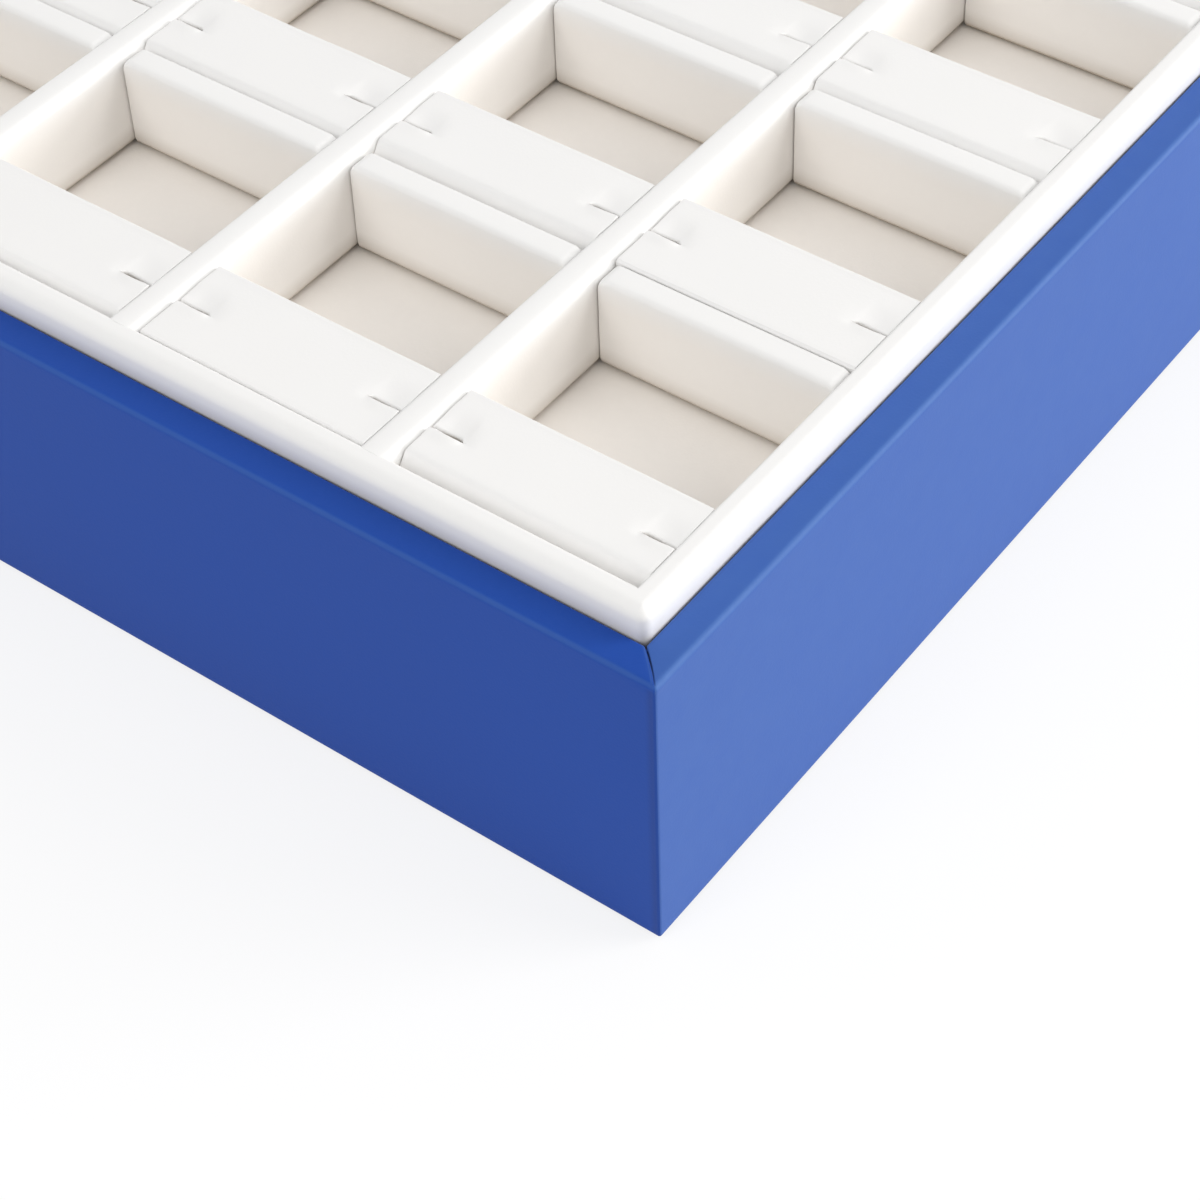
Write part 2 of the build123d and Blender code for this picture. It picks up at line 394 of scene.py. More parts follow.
blue = leatherette(
    "blue_leatherette",
    # The paler second tone is painted highlight and sheen, the dark third tone painted shade.
    tones=((0.006, 0.061, 0.36, 1), (0.18, 0.34, 0.57, 1), (0.004, 0.015, 0.08, 1)),
    painted_light=0.35,
    patchiness=0.25,
    roughness=0.58,
    bumps=(0.5, 1.0),
    wander=(0.03, 0.02),
    dust=0.05,
    specular=0.18,
    sheen=0.08,
)
# The tan of painted shade in the white pieces' slits, seams and feet.
shade_tan = (0.36, 0.28, 0.18, 1)
# For the white pieces below, the second tone is the neutral white painted on tops as lit, and the third the
# painted shade.
white = leatherette(
    "white_leatherette",
    tones=((0.91, 0.88, 0.845, 1), (0.905, 0.9, 0.892, 1), shade_tan),
    painted_light=1.0,
    patchiness=0.1,
    roughness=0.55,
    bumps=(0.4, 1.2),
    wander=(0.008, 0.006),
    dust=0.0,
    specular=0.3,
)
pad_white = leatherette(
    "pad_leatherette",
    tones=((0.9, 0.885, 0.865, 1), (0.9, 0.894, 0.886, 1), shade_tan),
    painted_light=1.0,
    patchiness=0.1,
    roughness=0.52,
    bumps=(0.4, 1.2),
    wander=(0.008, 0.006),
    dust=0.0,
    specular=0.3,
)
# The wells' floor is a lighter white than the boards, standing in for more light down in the wells.
well_floor = leatherette(
    "well_floor",
    tones=((0.95, 0.91, 0.865, 1), (0.92, 0.9, 0.88, 1), shade_tan),
    painted_light=0.0,
    patchiness=0.0,
    roughness=0.62,
    bumps=(0.5, 1.2),
    wander=(0.012, 0.012),
    dust=0.0,
    specular=0.25,
)
greyboard = greyboard_finish()
lining = lining_finish()


# Levels and plan sizes, read from the frame.
casing_low, casing_high = box_of("casing_wrap")
floor_high = box_of("insert_floor")[1]
frame_low, frame_high = box_of("frame_front")
rail_top = frame_high.z
floor_top = floor_high.z
ledge_top = casing_high.z
frame_thickness = frame_high.y - frame_low.y
half_width, half_length = casing_high.x, casing_high.y
insert_gap = 0.3 * MM
mouth_half_width = floor_high.x + insert_gap
mouth_half_length = floor_high.y + insert_gap


def ring_loops(section, half_x, half_y, corner_radius, corner_steps, side_step, near_corner=()):
    """Loops of a section swept round a rectangle. The section's points are (inward, height).

    Each loop is one station of the way round. Points further in than the corner radius share the
    corner's diagonal. near_corner holds more stations, as distances from where a corner starts.
    """
    loops = []
    for turn in range(4):
        # Local directions: along the side and outward, for the front, right, back and left side.
        angle = math.radians(90 * turn)
        along = Vector((math.cos(angle), math.sin(angle), 0))
        outward = Vector((math.sin(angle), -math.cos(angle), 0))
        reach, across = (half_x, half_y) if turn % 2 == 0 else (half_y, half_x)
        straight = reach - corner_radius
        close = sorted(straight - stop for stop in near_corner)
        far = min(close, default=straight)
        runs = spread(-far, far, side_step)
        if near_corner:
            beyond = close[1:] + [straight]
            runs = [-run for run in reversed(beyond)] + runs + beyond
        for run in runs:
            loops.append([])
            for inward, height in section:
                # Between the corners a point's run is stretched as far as its own side is long.
                side_reach = reach - max(inward, corner_radius)
                place = along * (run / straight * side_reach) + outward * (across - inward)
                loops[-1].append(place + Vector((0, 0, height)))
        for step in range(1, corner_steps):
            swing = math.radians(90 * step / corner_steps)
            loops.append([])
            for inward, height in section:
                radius = max(corner_radius - inward, 0)
                deep = max(inward, corner_radius)
                centre = along * (reach - deep) + outward * (across - deep)
                place = centre + (outward * math.cos(swing) + along * math.sin(swing)) * radius
                loops[-1].append(place + Vector((0, 0, height)))
    return loops


def close_ring(loops):
    """Points and faces round a closed ring of loops."""
    count = len(loops[0])
    points = [point for loop in loops for point in loop]
    faces = []
    for i in range(len(loops)):
        for j in range(count):
            faces.append(quad(i * count, (i + 1) % len(loops) * count, j, (j + 1) % count))
    return points, faces


def mark(piece, name, measure):
    """Stores how much of a tone, from 0 to 1, each point of a piece has."""
    tone = piece.data.attributes.new(name, "FLOAT", "POINT")
    for vertex in piece.data.vertices:
        tone.data[vertex.index].value = measure(vertex.co)


# The blue casing.
wrap_thickness = 0.8 * MM
wrap_corner_radius = 0.5 * MM
wrap_edge_radius = 0.8 * MM
mouth_edge_radius = 0.3 * MM
inner_turn_in = 14 * MM
base_turn_in = 12 * MM
wall_wave = 0.06 * MM
wall_wave_size = 45 * MM
wall_wave_fade = 6 * MM

# The rows of points in its section: plain ones on the wall and the ledge, closer ones by the edges.
side_row = 5 * MM
wall_margin = 3 * MM
ledge_row = 0.35 * MM
base_edge_row = 0.6 * MM
top_edge_rows = [row * MM for row in (1.2, 0.7, 0.3)]

# The mitre, which is open at the mouth and closes on its way out. Its end and the fade there are
# shares of its length, and the shallowing is the share of its depth that it loses on the way.
mitre_half = 0.05 * MM
mitre_shoulder = 0.14 * MM
mitre_depth = 0.5 * MM
mitre_shallowing = 0.75
mitre_end = 0.86
mitre_end_fade = 0.12
mitre_bow = 0.16 * MM
mitre_bow_half = 0.6 * MM
mitre_bow_fade = 2.4 * MM
mitre_reach = 4 * MM
mitre_below = 1.2 * MM
mitre_skin = 0.7 * MM
mitre_skin_fade = 0.5 * MM
mitre_stops = [stop * MM for stop in (0.04, 0.08, 0.12, 0.17, 0.24, 0.34, 0.5, 0.8, 1.3, 2.4, 4.0)]

# Where the blue covering has painted highlights and painted sheen. The end, place and half of a
# highlight at the edge are shares of its reach.
edge_highlight_reach = 1.3 * MM
right_highlight_end = 1.15
front_highlight = 0.35
front_highlight_place = 0.36
front_highlight_half = 0.2
right_sheen = 0.5
mitre_highlight = 0.4
mitre_highlight_gap = 0.1 * MM
mitre_highlight_half = 0.2 * MM
mitre_highlight_depth = 0.3 * MM

# Where it has painted shade.
mouth_dark_reach = 0.3 * MM
mouth_dark_depth = 0.5 * MM
mitre_dark_depth = 0.35 * MM
mitre_dark_fall = 0.7
mitre_dark_from_mouth = 0.4 * MM
mitre_dark_from_edge = 0.6 * MM
corner_shade_tone = 0.25
corner_shade_place = 0.8 * MM
corner_shade_half = 1.0 * MM
corner_shade_from_face = 0.2 * MM


def casing_section():
    """The covering's section, from the base turn-in up the wall, over the ledge and back."""
    low, top = casing_low.z, ledge_top
    edge, rim, skin = wrap_edge_radius, mouth_edge_radius, wrap_thickness
    ledge = half_width - mouth_half_width
    outside = [(base_turn_in, low)]
    outside += arc(edge, low + edge, edge, 270, 180, 5)
    outside += [(0, low + edge + base_edge_row)]
    outside += [(0, z) for z in spread(low + wall_margin, top - wall_margin, side_row)]
    outside += [(0, top - edge - row) for row in top_edge_rows]
    outside += arc(edge, top - edge, edge, 180, 90, 6)
    outside += [(inward, top) for inward in spread(edge, ledge - rim, ledge_row)[1:-1]]
    outside += arc(ledge - rim, top - rim, rim, 90, 0, 4)
    outside += [(ledge, top - inner_turn_in)]
    inside = [
        (ledge - skin, top - inner_turn_in),
        (ledge - skin, top - skin),
        (skin, top - skin),
        (skin, low + skin),
        (base_turn_in, low + skin),
    ]
    return outside + inside


def fold_mitre(place):
    """A point of the ledge moved to where the covering folds down into the bowed mitre."""
    side_x, side_y = math.copysign(1, place.x), math.copysign(1, place.y)
    inner = Vector((side_x * mouth_half_width, side_y * mouth_half_length, 0))
    way = Vector((side_x, side_y, 0)).normalized()
    aside = Vector((-way.y, way.x, 0))
    off = Vector((place.x, place.y, 0)) - inner
    length = (half_width - mouth_half_width) * math.sqrt(2)
    share = off.dot(way) / length
    apart = off.dot(aside)
    if abs(apart) > mitre_reach or place.z < ledge_top - mitre_below or not -0.1 < share < 1:
        return place
    out = max(share, 0)
    fade = 1 - ease((abs(apart) - mitre_bow_half) / mitre_bow_fade)
    bow = mitre_bow * math.sin(math.pi * out) * fade
    half = mitre_half * (1 - ease(share))
    depth = mitre_depth * (1 - mitre_shallowing * out) * (1 - ease((share - mitre_end) / mitre_end_fade))
    drop = depth * (1 - ease((abs(apart) - half) / mitre_shoulder))
    below = ease((place.z - ledge_top + mitre_skin) / mitre_skin_fade)
    return place + aside * bow - Vector((0, 0, drop * below))


def bulge_wall(place):
    """A point of the outer walls moved in a little, as a covered board is never quite flat."""
    across_x, across_y = place.x / half_width, place.y / half_length
    if place.z >= ledge_top or max(abs(across_x), abs(across_y)) <= 0.999:
        return place
    from_top = ease((ledge_top - place.z) / wall_wave_fade)
    from_base = ease((place.z - casing_low.z) / wall_wave_fade)
    on_side = abs(across_x) > abs(across_y)
    outward = Vector((across_x, 0, 0)) if on_side else Vector((0, across_y, 0))
    wave = abs(unevenness(place, wall_wave_size, wall_wave, 1))
    return place - outward * (wave * (from_top * from_base))


def casing_painted_light(place):
    """How much painted light the covering has: painted highlight at its top edge and beside the mitres, and
    a fainter painted sheen all over the right.
    """
    off_x, off_y = half_width - abs(place.x), half_length - abs(place.y)
    under = ledge_top - place.z
    over = (min(off_x, off_y) + under) / edge_highlight_reach
    beside = abs(abs(off_x - off_y) / math.sqrt(2) - mitre_shoulder - mitre_highlight_gap)
    at_mitre = mitre_highlight * ease(1 - beside / mitre_highlight_half) * ease(1 - under / mitre_highlight_depth)
    # The right side gets painted highlight at its edge and a fainter painted sheen all over.
    if place.x > 0 and off_x < off_y:
        return max(ease(right_highlight_end - over), at_mitre, right_sheen)
    return max(front_highlight * ease(1 - abs(over - front_highlight_place) / front_highlight_half), at_mitre)


def casing_painted_shade(place):
    """How much painted shade the covering has: inside the mouth, down in the mitres and beside the upright
    corners.
    """
    off_x, off_y = half_width - abs(place.x), half_length - abs(place.y)
    under = ledge_top - place.z
    from_mouth = max(abs(place.x) - mouth_half_width, abs(place.y) - mouth_half_length)
    dark = ease(1 - from_mouth / mouth_dark_reach) * ease(under / mouth_dark_depth)
    if from_mouth > mitre_dark_from_mouth and min(off_x, off_y) > mitre_dark_from_edge:
        out = from_mouth / (half_width - mouth_half_width)
        dark = max(dark, (1 - mitre_dark_fall * out) * ease(under / mitre_dark_depth))
    # A faint dark band of painted shade beside each upright corner, on the front and back faces.
    if off_y < corner_shade_from_face and under > wrap_edge_radius:
        dark = max(dark, corner_shade_tone * ease(1 - abs(off_x - corner_shade_place) / corner_shade_half))
    return dark


def make_casing():
    """The whole blue covering, with its folded mitres and slightly uneven walls."""
    section = casing_section()
    loops = ring_loops(section, half_width, half_length, wrap_corner_radius, 8, side_row, mitre_stops)
    points, faces = close_ring(loops)
    points = [fold_mitre(point) for point in points]
    casing = make_piece("casing_skin", points, faces, "casing", blue, sharp=60)
    for vertex in casing.data.vertices:
        vertex.co = bulge_wall(vertex.co)
    # Painted highlight and painted sheen, then painted shade, stored on the covering's points.
    mark(casing, "painted_light", casing_painted_light)
    mark(casing, "painted_shade", casing_painted_shade)
    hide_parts("casing_wrap")


# The white insert: its frame, rails and dividers.
frame_corner_radius = 1.7 * MM
frame_outer_radius = 1.9 * MM
frame_inner_radius = 0.6 * MM
rail_left_radius = 0.8 * MM
rail_right_radius = 1.8 * MM
rail_end_tuck = 0.5 * MM
rail_crown = 0.05 * MM
foot_radius = 1.7 * MM
board_row = 3 * MM
board_wave = 0.04 * MM
board_wave_size = 14 * MM

# Where the white boards are painted neutral white as lit at their tops, and where they have painted shade
# in tan.
lit_top_rim = 0.3 * MM
lit_top_fall = 4 * MM
foot_shade_reach = 2.2 * MM
foot_faint_reach = 4.5 * MM
foot_faint = 0.4
ledge_line_reach = 0.9 * MM
front_line_tone = 0.22
side_line_tone = 0.1
outer_lit_share = 0.4
outer_lit_fade = 0.3


def soft_board(width, height, front_radius, back_radius, crown=0.0):
    """An upright board's section with soft edges, as (across, height) from its outer foot.

    It has as many points at any size, so that sections of different heights can be joined.
    """
    foot = foot_radius
    front_rise, back_rise = height - front_radius, height - back_radius
    flat = width - front_radius - back_radius
    shares = (0.04, 0.1, 0.18, 0.35, 0.55, 0.75, 0.92)
    section = arc(foot, foot, foot, 270, 180, 7)
    section += [(0, foot + (front_rise - foot) * share) for share in shares]
    section += arc(front_radius, front_rise, front_radius, 180, 90, 7)
    for share in (0.15, 0.3, 0.5, 0.7, 0.85):
        section.append((front_radius + flat * share, height + crown * math.sin(math.pi * share)))
    section += arc(width - back_radius, back_rise, back_radius, 90, 0, 7)
    section += [(width, foot + (back_rise - foot) * share) for share in reversed(shares)]
    section += arc(width - foot, foot, foot, 0, -90, 7)
    return section


def roughen(points, seed):
    """Points moved a little, as a board's covering is never quite flat."""
    moved = []
    for point in points:
        shift = [unevenness(point, board_wave_size, board_wave, seed + axis) for axis in range(3)]
        moved.append(point + Vector(shift))
    return moved


def lit_top_tone(top, height):
    """How much painted light a board has at a height, as a neutral white: fully at its top, and less down
    its sides.
    """
    return 1 - ease((top - height - lit_top_rim) / lit_top_fall)


def foot_shade(height):
    """How much painted shade, in tan, a board has at a height: strong where it curls under, faint a little
    above.
    """
    up = height - floor_top
    return max(ease(1 - up / foot_shade_reach), foot_faint * ease(1 - up / foot_faint_reach))


def mark_board(board, top):
    """A board is painted neutral white at its top as lit, warmer down its sides as painted warm shade, and
    has painted shade in tan at its foot.
    """
    mark(board, "painted_light", lambda place: lit_top_tone(top, place.z))
    mark(board, "painted_shade", lambda place: foot_shade(place.z))


def from_frame_outside(place):
    """How far a place lies inside the frame's outer faces."""
    return min(floor_high.x - abs(place.x), floor_high.y - abs(place.y))


def frame_painted_light(place):
    """The frame is painted neutral white, as lit, at its top and all over its outer faces."""
    share_in = from_frame_outside(place) / frame_thickness
    outside = ease((outer_lit_share - share_in) / outer_lit_fade)
    return max(outside, lit_top_tone(rail_top, place.z))


def frame_painted_shade(place):
    """The frame has painted shade in tan at its foot inside, and a thin line of painted shade above the
    ledge outside.
    """
    if from_frame_outside(place) > frame_thickness / 2:
        return foot_shade(place.z)
    at_front = abs(place.y) > floor_high.y - frame_thickness / 2
    strength = front_line_tone if at_front else side_line_tone
    return strength * ease(1 - (place.z - ledge_top) / ledge_line_reach)


def make_frame():
    """The white frame in one covering, with soft rims and no open mitre."""
    height = rail_top - floor_top
    board = soft_board(frame_thickness, height, frame_outer_radius, frame_inner_radius)
    section = [(a, floor_top + z) for a, z in board]
    loops = ring_loops(section, floor_high.x, floor_high.y, frame_corner_radius, 8, board_row)
    points, faces = close_ring(loops)
    frame_skin = make_piece("frame_skin", roughen(points, 3), faces, "insert", white)
    # Painted light on the frame's top and outer faces, then painted shade at its foot and above the ledge.
    mark(frame_skin, "painted_light", frame_painted_light)
    mark(frame_skin, "painted_shade", frame_painted_shade)
    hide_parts("frame_front", "frame_back", "frame_left", "frame_right")


def make_rail(node, seed):
    """A long rail with a softly crowned top."""
    low, high = box_of(node)
    width, height = high.x - low.x, high.z - low.z
    section = soft_board(width, height, rail_left_radius, rail_right_radius, rail_crown)
    loops = []
    for y in spread(low.y - rail_end_tuck, high.y + rail_end_tuck, board_row):
        loops.append([Vector((low.x + a, y, low.z + z)) for a, z in section])
    points, faces = loft(loops)
    rail = make_piece(node + "_skin", roughen(points, seed), faces, "insert", white)
    mark_board(rail, rail_top)
    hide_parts(node)


divider_front_radius = 0.9 * MM
divider_back_radius = 0.45 * MM
divider_corner_radius = 1.6 * MM
divider_end_softness = 0.35 * MM


def rounded_off(run, radius):
    """How far a rounded corner stands back at a run from its start."""
    if run >= radius:
        return 0.0
    return radius - math.sqrt(max(radius**2 - (radius - run) ** 2, 0))


def make_divider(node, seed):
    """A short cross board, its covering rounded over both top end corners."""
    low, high = box_of(node)
    width, height, length = high.y - low.y, high.z - low.z, high.x - low.x
    stops = [divider_corner_radius * (1 - math.cos(math.radians(t))) for t in range(0, 91, 9)]
    middle = spread(divider_corner_radius, length - divider_corner_radius, board_row)
    stations = stops + middle[1:-1] + [length - stop for stop in reversed(stops)]
    loops = []
    for run in stations:
        from_end = min(run, length - run)
        drop = rounded_off(from_end, divider_corner_radius)
        tuck = rounded_off(from_end, divider_end_softness)
        section = soft_board(width - 2 * tuck, height - drop, divider_front_radius, divider_back_radius)
        loops.append([Vector((low.x + run, low.y + tuck + a, low.z + z)) for a, z in section])
    points, faces = loft(loops)
    divider = make_piece(node + "_skin", roughen(points, seed), faces, "insert", white)
    mark_board(divider, high.z)
    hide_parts(node)


# The bridge pads. Places in a pad's section are (back from its front face, up from its foot).
pad_plate = 3.0 * MM
pad_leg = 2.4 * MM
pad_front_fold = 1.6 * MM
pad_whole_fold_reach = 3 * MM
pad_front_slope = 40
pad_rear_radius = 0.4 * MM
rear_bead = 0.07 * MM
rear_bead_reach = 1.4 * MM
pad_end_radius = 0.2 * MM
pad_end_growth = 0.33 * MM
pad_front_growth = 0.2 * MM
pad_inner_radius = 0.8 * MM
pad_wave_size = 12 * MM
pad_wave_up = 0.07 * MM
pad_wave_back = 0.04 * MM

# The slit at each end, the flap that droops behind it and the lip that stands up in front of it.
slit_setback = 8.1 * MM
slit_length = 6.2 * MM
slit_gap = 0.85 * MM
slit_least_gap = 0.15 * MM
slit_bow = 0.25 * MM
left_slit_corner = 0.4 * MM
right_slit_corner = 0.12 * MM
slit_corner_run = 1.1 * MM
droop_reach = 4.6 * MM
droop_fade = 0.9
tip_pull = 1.2 * MM
lip_reach = 2.2 * MM
lip_rise = 0.18 * MM
lip_roll = 0.22 * MM
flap_roll = 0.45 * MM

# The rows of points along a pad and up its faces.
slit_row = 0.35 * MM
past_tip_reach = 4.2 * MM
past_tip_row = 0.42 * MM
middle_row = 2.2 * MM
upright_row = 2.5 * MM
under_front = 1.8 * MM
under_rear = 3.2 * MM

# Where a pad is painted neutral white as lit at its top, and where it has painted shade in tan.
pad_lit_rim = 0.6 * MM
pad_lit_fall = 3 * MM
slit_tan_start = 0.75 * MM
slit_tan_fade = 0.5 * MM
slit_tan_past = 0.4 * MM
slit_tan_half = 3 * MM
slit_tan_edge = 1 * MM
end_tan = 0.7
end_tan_reach = 2 * MM


# How far the front falls before it stands upright, for the pads that the photo shows well. The
# others draw theirs.
pad_front_reach = {
    "pad_row1_column4": 3.2 * MM,
    "pad_row2_column3": 3.1 * MM,
    "pad_row3_column4": 1.9 * MM,
    "pad_row2_column4": 0.4 * MM,
    "pad_row1_column3": 0.4 * MM,
}


class PadEnd:
    """How the covering lies round one slit, at a run from the pad's end."""

    def __init__(self, dice, corner):
        self.corner = corner
        self.droop = dice.uniform(0.4, 0.55) * MM
        self.gap = slit_gap * dice.uniform(0.6, 1.0)
        self.lift = lip_rise * dice.uniform(0.5, 1.2)
        self.length = slit_length * dice.uniform(0.94, 1.03)

    def measure(self, run):
        """The flap's sink, the lip's rise, how far they are joined and the two edges' places."""
        along = run / self.length
        # The flap hangs a little less at the pad's end, and rises again past the slit's middle.
        sink = self.droop * (0.55 + 0.45 * ease(along / 0.45)) * (1 - ease((along - 0.45) / droop_fade))
        joined = ease((along - 0.8) / 0.2)
        raised = self.lift * (1 - ease((along - 0.5) / 0.5))
        corner = self.corner * (1 - ease(run / slit_corner_run))
        bow = slit_bow * math.sin(math.pi * min(along, 1))
        # The gap is widest a little past its middle.
        swell = math.sin(math.pi * min(along, 1) ** 1.3)
        open_by = slit_least_gap + self.gap * math.sqrt(max(swell, 0))
        lip = slit_setback - corner * 0.8 - bow
        flap = lip + open_by * (1 - joined) + corner * 1.3
        return sink, raised, joined, lip, flap


def pad_front_profile(height, reach):
    """The pad's front up to its top: upright, a slanted stretch between two soft folds.

    It gives rows of (back, up, way in from the end's rounding), and where the level top starts.
    """
    fold = pad_front_fold * reach / pad_whole_fold_reach
    slope = math.radians(pad_front_slope)
    bend = fold * math.tan(slope / 2)
    # The lower fold turns from upright to the slant, and the upper one from the slant to level.
    steep = math.radians(90 - pad_front_slope)
    low_bend = fold * math.tan(steep / 2)
    fold_start = height - reach - low_bend
    across = (reach - low_bend) / math.tan(slope)
    rows = [(0.0, z, (1, 0)) for z in spread(0, fold_start, upright_row)]
    for step in range(1, 5):
        turn = steep * step / 4
        y, z = fold * (1 - math.cos(turn)), fold_start + fold * math.sin(turn)
        rows.append((y, z, (math.cos(turn), -math.sin(turn))))
    start_y, start_z = rows[-1][0], rows[-1][1]
    end_y, end_z = across - bend * math.cos(slope), height - bend * math.sin(slope)
    for share in (0.33, 0.67, 1.0):
        y, z = start_y + (end_y - start_y) * share, start_z + (end_z - start_z) * share
        rows.append((y, z, (math.sin(slope), -math.cos(slope))))
    for step in range(1, 6):
        turn = slope * (1 - step / 5)
        y = across + bend - fold * math.sin(turn)
        z = height - fold * (1 - math.cos(turn))
        rows.append((y, z, (math.sin(turn), -math.cos(turn))))
    return rows, across + bend


def pad_front_half(height, reach, sink, rise, joined, lip):
    """The front half of the section: foot, front, top, slit wall, underside and leg."""
    under = height - pad_plate
    rows, top_start = pad_front_profile(height, reach)
    roll = lip_roll * (1 - joined)
    for share in (0.15, 0.3, 0.45, 0.58, 0.68, 0.76, 0.83, 0.89, 0.94, 0.98, 1.0):
        y = top_start + (lip - roll - top_start) * share
        ahead = lip - y
        pulled = sink * joined * (1 - ease(ahead / tip_pull))
        raised = rise * ease(1 - ahead / lip_reach)
        rows.append((y, height - pulled + raised, (0, -1)))
    edge = height - sink * joined + rise
    for degrees in (30, 60, 90):
        swing = math.radians(degrees)
        rows.append((lip - roll + roll * math.sin(swing), edge - roll + roll * math.cos(swing), (0, -0.5)))
    top_edge = len(rows) - 1
    rows += [(lip, edge - roll - (edge - roll - under) * share, (0, 0)) for share in (0.3, 1.0)]
    bottom_edge = len(rows) - 1
    rows += [(slit_setback - under_front, under, (0, 0))]
    inner = arc(pad_leg + pad_inner_radius, under - pad_inner_radius, pad_inner_radius, 90, 180, 3)
    rows += [(y, z, (0, 0)) for y, z in inner]
    rows += [(pad_leg, 0, (0, 0))]
    return rows, top_edge, bottom_edge


def pad_rear_half(depth, height, sink, joined, flap):
    """The rear half of the section: slit wall, drooping flap, rear edge, rear, leg and underside."""
    under = height - pad_plate
    roll = flap_roll * (1 - joined)
    rows = [(flap, under, (0, 0))]
    edge = height - sink
    rows += [(flap, under + (edge - roll - under) * 0.7, (0, 0))]
    for degrees in (90, 60, 30):
        swing = math.radians(degrees)
        rows.append((flap + roll - roll * math.sin(swing), edge - roll + roll * math.cos(swing), (0, -0.5)))
    rear_start = depth - pad_rear_radius
    for share in (0.0, 0.03, 0.07, 0.12, 0.18, 0.25, 0.33, 0.42, 0.52, 0.63, 0.75, 0.84, 0.9, 0.95, 1.0):
        y = flap + roll + (rear_start - flap - roll) * share
        behind = (y - flap - roll) / droop_reach
        bead = rear_bead * ease(1 - (depth - y) / rear_bead_reach)
        rows.append((y, height - sink * (1 - ease(behind)) + bead, (0, -1)))
    for y, z in arc(rear_start, height + rear_bead - pad_rear_radius, pad_rear_radius, 90, 0, 5)[1:]:
        away_y = (rear_start - y) / pad_rear_radius
        away_z = (height + rear_bead - pad_rear_radius - z) / pad_rear_radius
        rows.append((y, z, (away_y, away_z)))
    rows += [(depth, z, (-1, 0)) for z in spread(height - pad_rear_radius, 0, upright_row)[1:]]
    rows += [(depth - pad_leg, 0, (0, 0))]
    inner = arc(depth - pad_leg - pad_inner_radius, under - pad_inner_radius, pad_inner_radius, 0, 90, 3)
    rows += [(y, z, (0, 0)) for y, z in inner]
    rows += [(slit_setback + under_rear, under, (0, 0))]
    return rows


def pad_stations(width):
    """Where along the pad its sections stand, close together at the slits, and which is at a tip."""
    rounding = [pad_end_radius * (1 - math.cos(math.radians(t))) for t in range(0, 91, 15)]
    slit_run = spread(pad_end_radius, slit_length, slit_row)[1:]
    past_tip = spread(slit_length, slit_length + past_tip_reach, past_tip_row)[1:]
    end = rounding + slit_run + past_tip
    middle = spread(end[-1], width - end[-1], middle_row)[1:-1]
    tip = len(rounding) + len(slit_run) - 1
    return end + middle + [width - run for run in reversed(end)], tip


def make_pad(node, seed):
    """A bridge pad: rounded front, crisp rear edge and a drooping slit at each end."""
    dice = random.Random(seed)
    low, high = box_of(node)
    low.x -= pad_end_growth
    high.x += pad_end_growth
    low.y -= pad_front_growth
    width, depth, height = high.x - low.x, high.y - low.y, high.z - low.z
    left_end = PadEnd(dice, left_slit_corner)
    right_end = PadEnd(dice, right_slit_corner)
    reach = pad_front_reach.get(node, dice.uniform(1.3, 3.0) * MM)
    stations, tip = pad_stations(width)
    last = len(stations) - 1
    points, faces = [], []
    for run in stations:
        from_end = min(run, width - run)
        inset = rounded_off(from_end, pad_end_radius)
        end = right_end if run > width / 2 else left_end
        sink, rise, joined, lip, flap = end.measure(from_end)
        front, top_edge, bottom_edge = pad_front_half(height, reach, sink, rise, joined, lip)
        rear = pad_rear_half(depth, height, sink, joined, flap)
        for y, z, (away_y, away_z) in front + rear:
            point = low + Vector((run, y + away_y * inset, z + away_z * inset))
            soft = z / height
            point.z += unevenness(point, pad_wave_size, pad_wave_up * soft, seed)
            point.y += unevenness(point, pad_wave_size, pad_wave_back * soft, seed + 50)
            points.append(point)
    front_count, count = len(front), len(front) + len(rear)
    # The slit's walls: rows from the top edge to the bottom edge in front, and the same behind.
    walls = [*range(top_edge, bottom_edge), front_count, front_count + 1]
    for i in range(last):
        in_slit = i < tip or i >= last - tip
        here, there = i * count, (i + 1) * count
        for j in range(count - 1):
            if j != front_count - 1 and (in_slit or j not in walls):
                faces.append(quad(here, there, j, j + 1))
        # The feet and the underside close each half.
        faces.append(quad(here, there, front_count - 1, 0))
        faces.append(quad(here, there, count - 1, front_count))
    for station in (0, last):
        start = station * count
        faces.append(tuple(range(start, start + front_count)))
        faces.append(tuple(range(start + front_count, start + count)))
    pad = make_piece(node + "_skin", points, faces, node, pad_white, sharp=50)

    def dark(place):
        """The pad has painted shade in tan down in its slits and at its ends."""
        back, up = place.y - low.y, place.z - low.z
        sunk = height - up
        from_end = min(place.x - low.x, high.x - place.x)
        along_slit = ease(1 - (from_end - slit_length) / slit_tan_past)
        off_slit = abs(back - slit_setback - 0.5 * slit_gap)
        across_slit = ease((slit_tan_half - off_slit) / slit_tan_edge)
        in_plate = up > height - pad_plate - 0.01 * MM
        deep = ease((sunk - slit_tan_start) / slit_tan_fade) * along_slit * across_slit * in_plate
        at_end = end_tan * ease(1 - from_end / (0.05 * MM)) * ease(sunk / end_tan_reach)
        return max(deep, at_end)

    # Painted light at the pad's top, then painted shade in its slits and at its ends.
    mark(pad, "painted_light", lambda place: 1 - ease((high.z - place.z - pad_lit_rim) / pad_lit_fall))
    mark(pad, "painted_shade", dark)
    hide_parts(node)


def dress_solids():
    """Gives the solids that stay their finish."""
    for node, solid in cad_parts.items():
        if node.startswith(("wall_", "riser_", "base_board")):
            finish = greyboard
        elif node == "bottom_lining":
            finish = lining
        elif node == "insert_floor":
            finish = well_floor
        else:
            continue
        solid.data.materials.clear()
        solid.data.materials.append(finish)


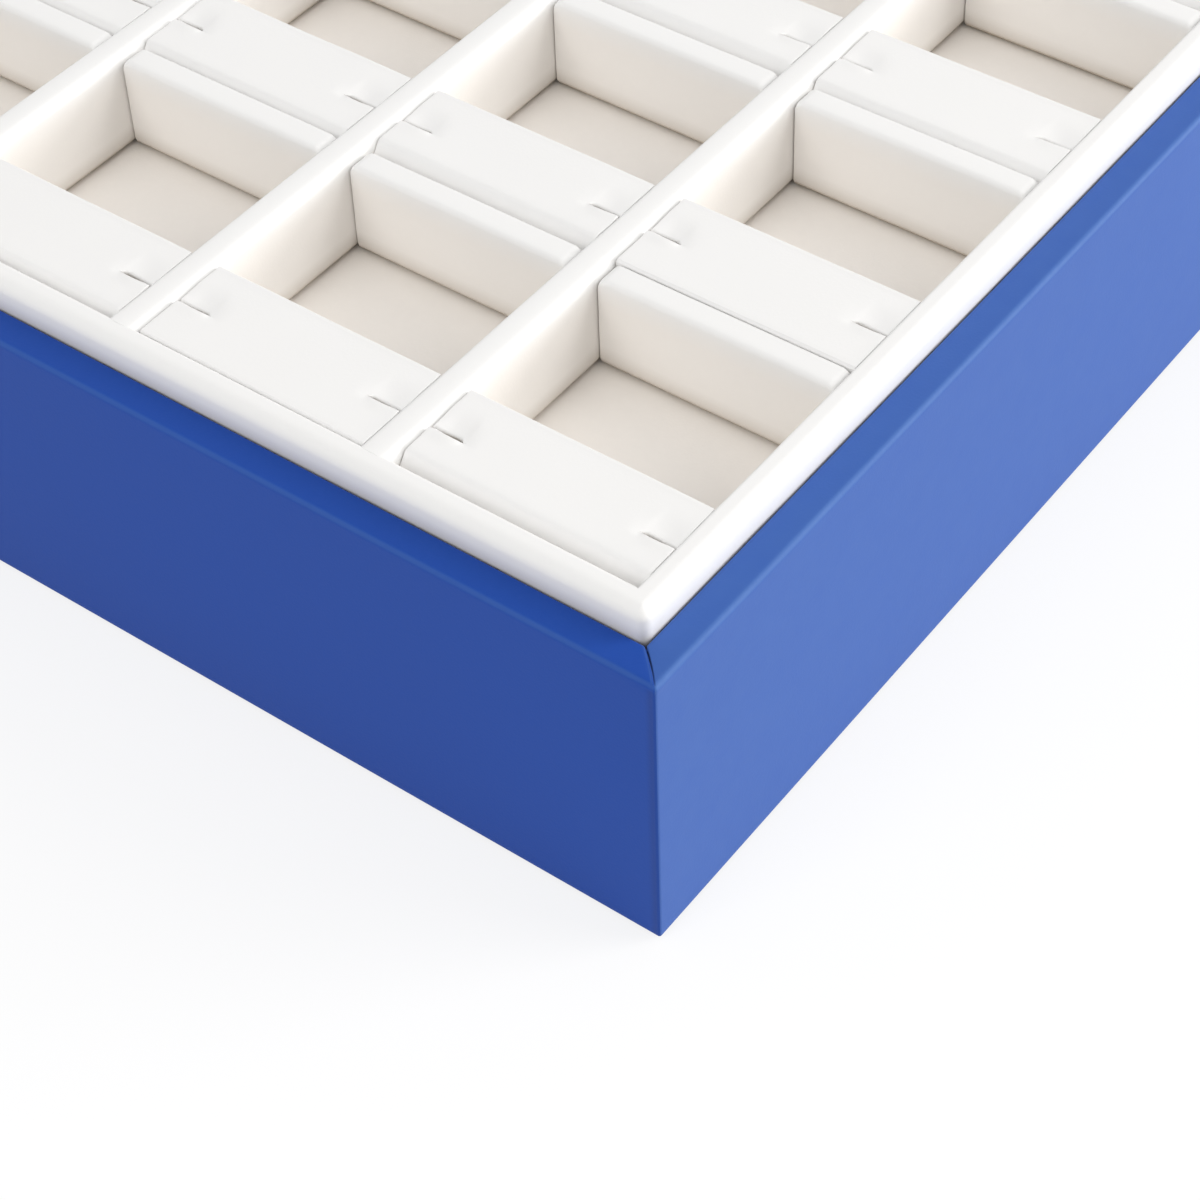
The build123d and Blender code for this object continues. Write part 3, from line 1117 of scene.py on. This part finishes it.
def seen_directly(nodes):
    """1 for what the camera sees, also in a reflection or through glass, and 0 for light."""
    path = nodes.add("ShaderNodeLightPath").outputs
    seen = nodes.maths("ADD", path["Is Camera Ray"], path["Is Glossy Ray"], clamp=True)
    return nodes.maths("ADD", seen, path["Is Transmission Ray"], clamp=True)


floor_glow_share = 0.75


def make_stage():
    """A white floor that stays white to the camera and keeps the tray's soft shadow."""
    bpy.ops.mesh.primitive_plane_add(size=8, location=(0, 0, -0.02 * MM))
    floor = bpy.context.object
    floor.name = "studio_floor"
    material, nodes, surface = empty_material("studio_floor")
    matte = nodes.feed(nodes.add("ShaderNodeBsdfDiffuse"), Color=(0.85, 0.85, 0.85, 1))
    glow = nodes.feed(nodes.add("ShaderNodeEmission"), Color=(1, 1, 1, 1), Strength=1.06)
    blend = nodes.add("ShaderNodeMixShader")
    nodes.join(nodes.maths("MULTIPLY", seen_directly(nodes), floor_glow_share), blend.inputs[0])
    nodes.join(matte.outputs[0], blend.inputs[1])
    nodes.join(glow.outputs[0], blend.inputs[2])
    nodes.join(blend.outputs[0], surface)
    floor.data.materials.append(material)


sky_colour = (0.985, 0.99, 1, 1)
sky_strength = 0.54
lamp_colour = (1, 0.985, 0.96)
lamp_distance = 1.6


def add_lamp(name, direction, size, energy):
    """A soft round lamp that looks at the tray from a direction."""
    light = bpy.data.lights.new(name, "AREA")
    light.shape = "DISK"
    light.size = size
    light.energy = energy
    light.color = lamp_colour
    lamp = bpy.data.objects.new(name, light)
    towards = Vector(direction).normalized()
    lamp.location = towards * lamp_distance
    lamp.rotation_euler = towards.to_track_quat("Z", "Y").to_euler()
    bpy.context.scene.collection.objects.link(lamp)


def make_lights():
    """Even pale surroundings, daylight from the right, and weak fills from the front and above."""
    world = bpy.data.worlds.new("studio")
    bpy.context.scene.world = world
    world.use_nodes = True
    nodes = Nodes(world.node_tree)
    sky = world.node_tree.nodes["Background"]
    sky.inputs["Color"].default_value = sky_colour
    # The sky is white where it is seen, and dimmer as a light.
    brighter = nodes.maths("MULTIPLY", seen_directly(nodes), 1 - sky_strength)
    nodes.join(nodes.maths("ADD", brighter, sky_strength), sky.inputs["Strength"])
    add_lamp("window_light", (0.75, 0.45, 0.6), size=0.9, energy=9)
    add_lamp("side_fill", (0.75, 0.65, 0.1), size=0.8, energy=19)
    add_lamp("front_fill", (-0.1, -0.8, 0.55), size=0.9, energy=6)
    add_lamp("top_fill", (0, 0, 1), size=0.9, energy=2.5)


# The camera's place, and its angles in degrees: turned round from the front, down from level, rolled.
camera_lens = 88.55
camera_place = (0.24609, -0.30638, 0.32907)
camera_turn = 38.102
camera_down = 46.445
camera_roll = -2.264


def make_camera():
    """The photograph's view: over the near right corner, long lens, a slight roll."""
    camera = bpy.data.cameras.new("camera")
    camera.lens = camera_lens
    camera.sensor_width = 36
    seen_from = bpy.data.objects.new("camera", camera)
    turn = Matrix.Rotation(math.radians(camera_turn), 4, "Z")
    tilt = Matrix.Rotation(math.radians(90 - camera_down), 4, "X")
    roll = Matrix.Rotation(math.radians(camera_roll), 4, "Z")
    seen_from.matrix_world = Matrix.Translation(camera_place) @ turn @ tilt @ roll
    bpy.context.scene.collection.objects.link(seen_from)
    bpy.context.scene.camera = seen_from


make_camera()
make_lights()
make_stage()
dress_solids()
make_casing()
make_frame()
# A piece's number in the list is the seed of its unevenness.
for number, name in enumerate(sorted(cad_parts)):
    if name.startswith("rail_"):
        make_rail(name, number)
    elif name.startswith("divider_"):
        make_divider(name, number)
    elif name.startswith("pad_"):
        make_pad(name, number)

bpy.context.scene.view_settings.view_transform = "Standard"
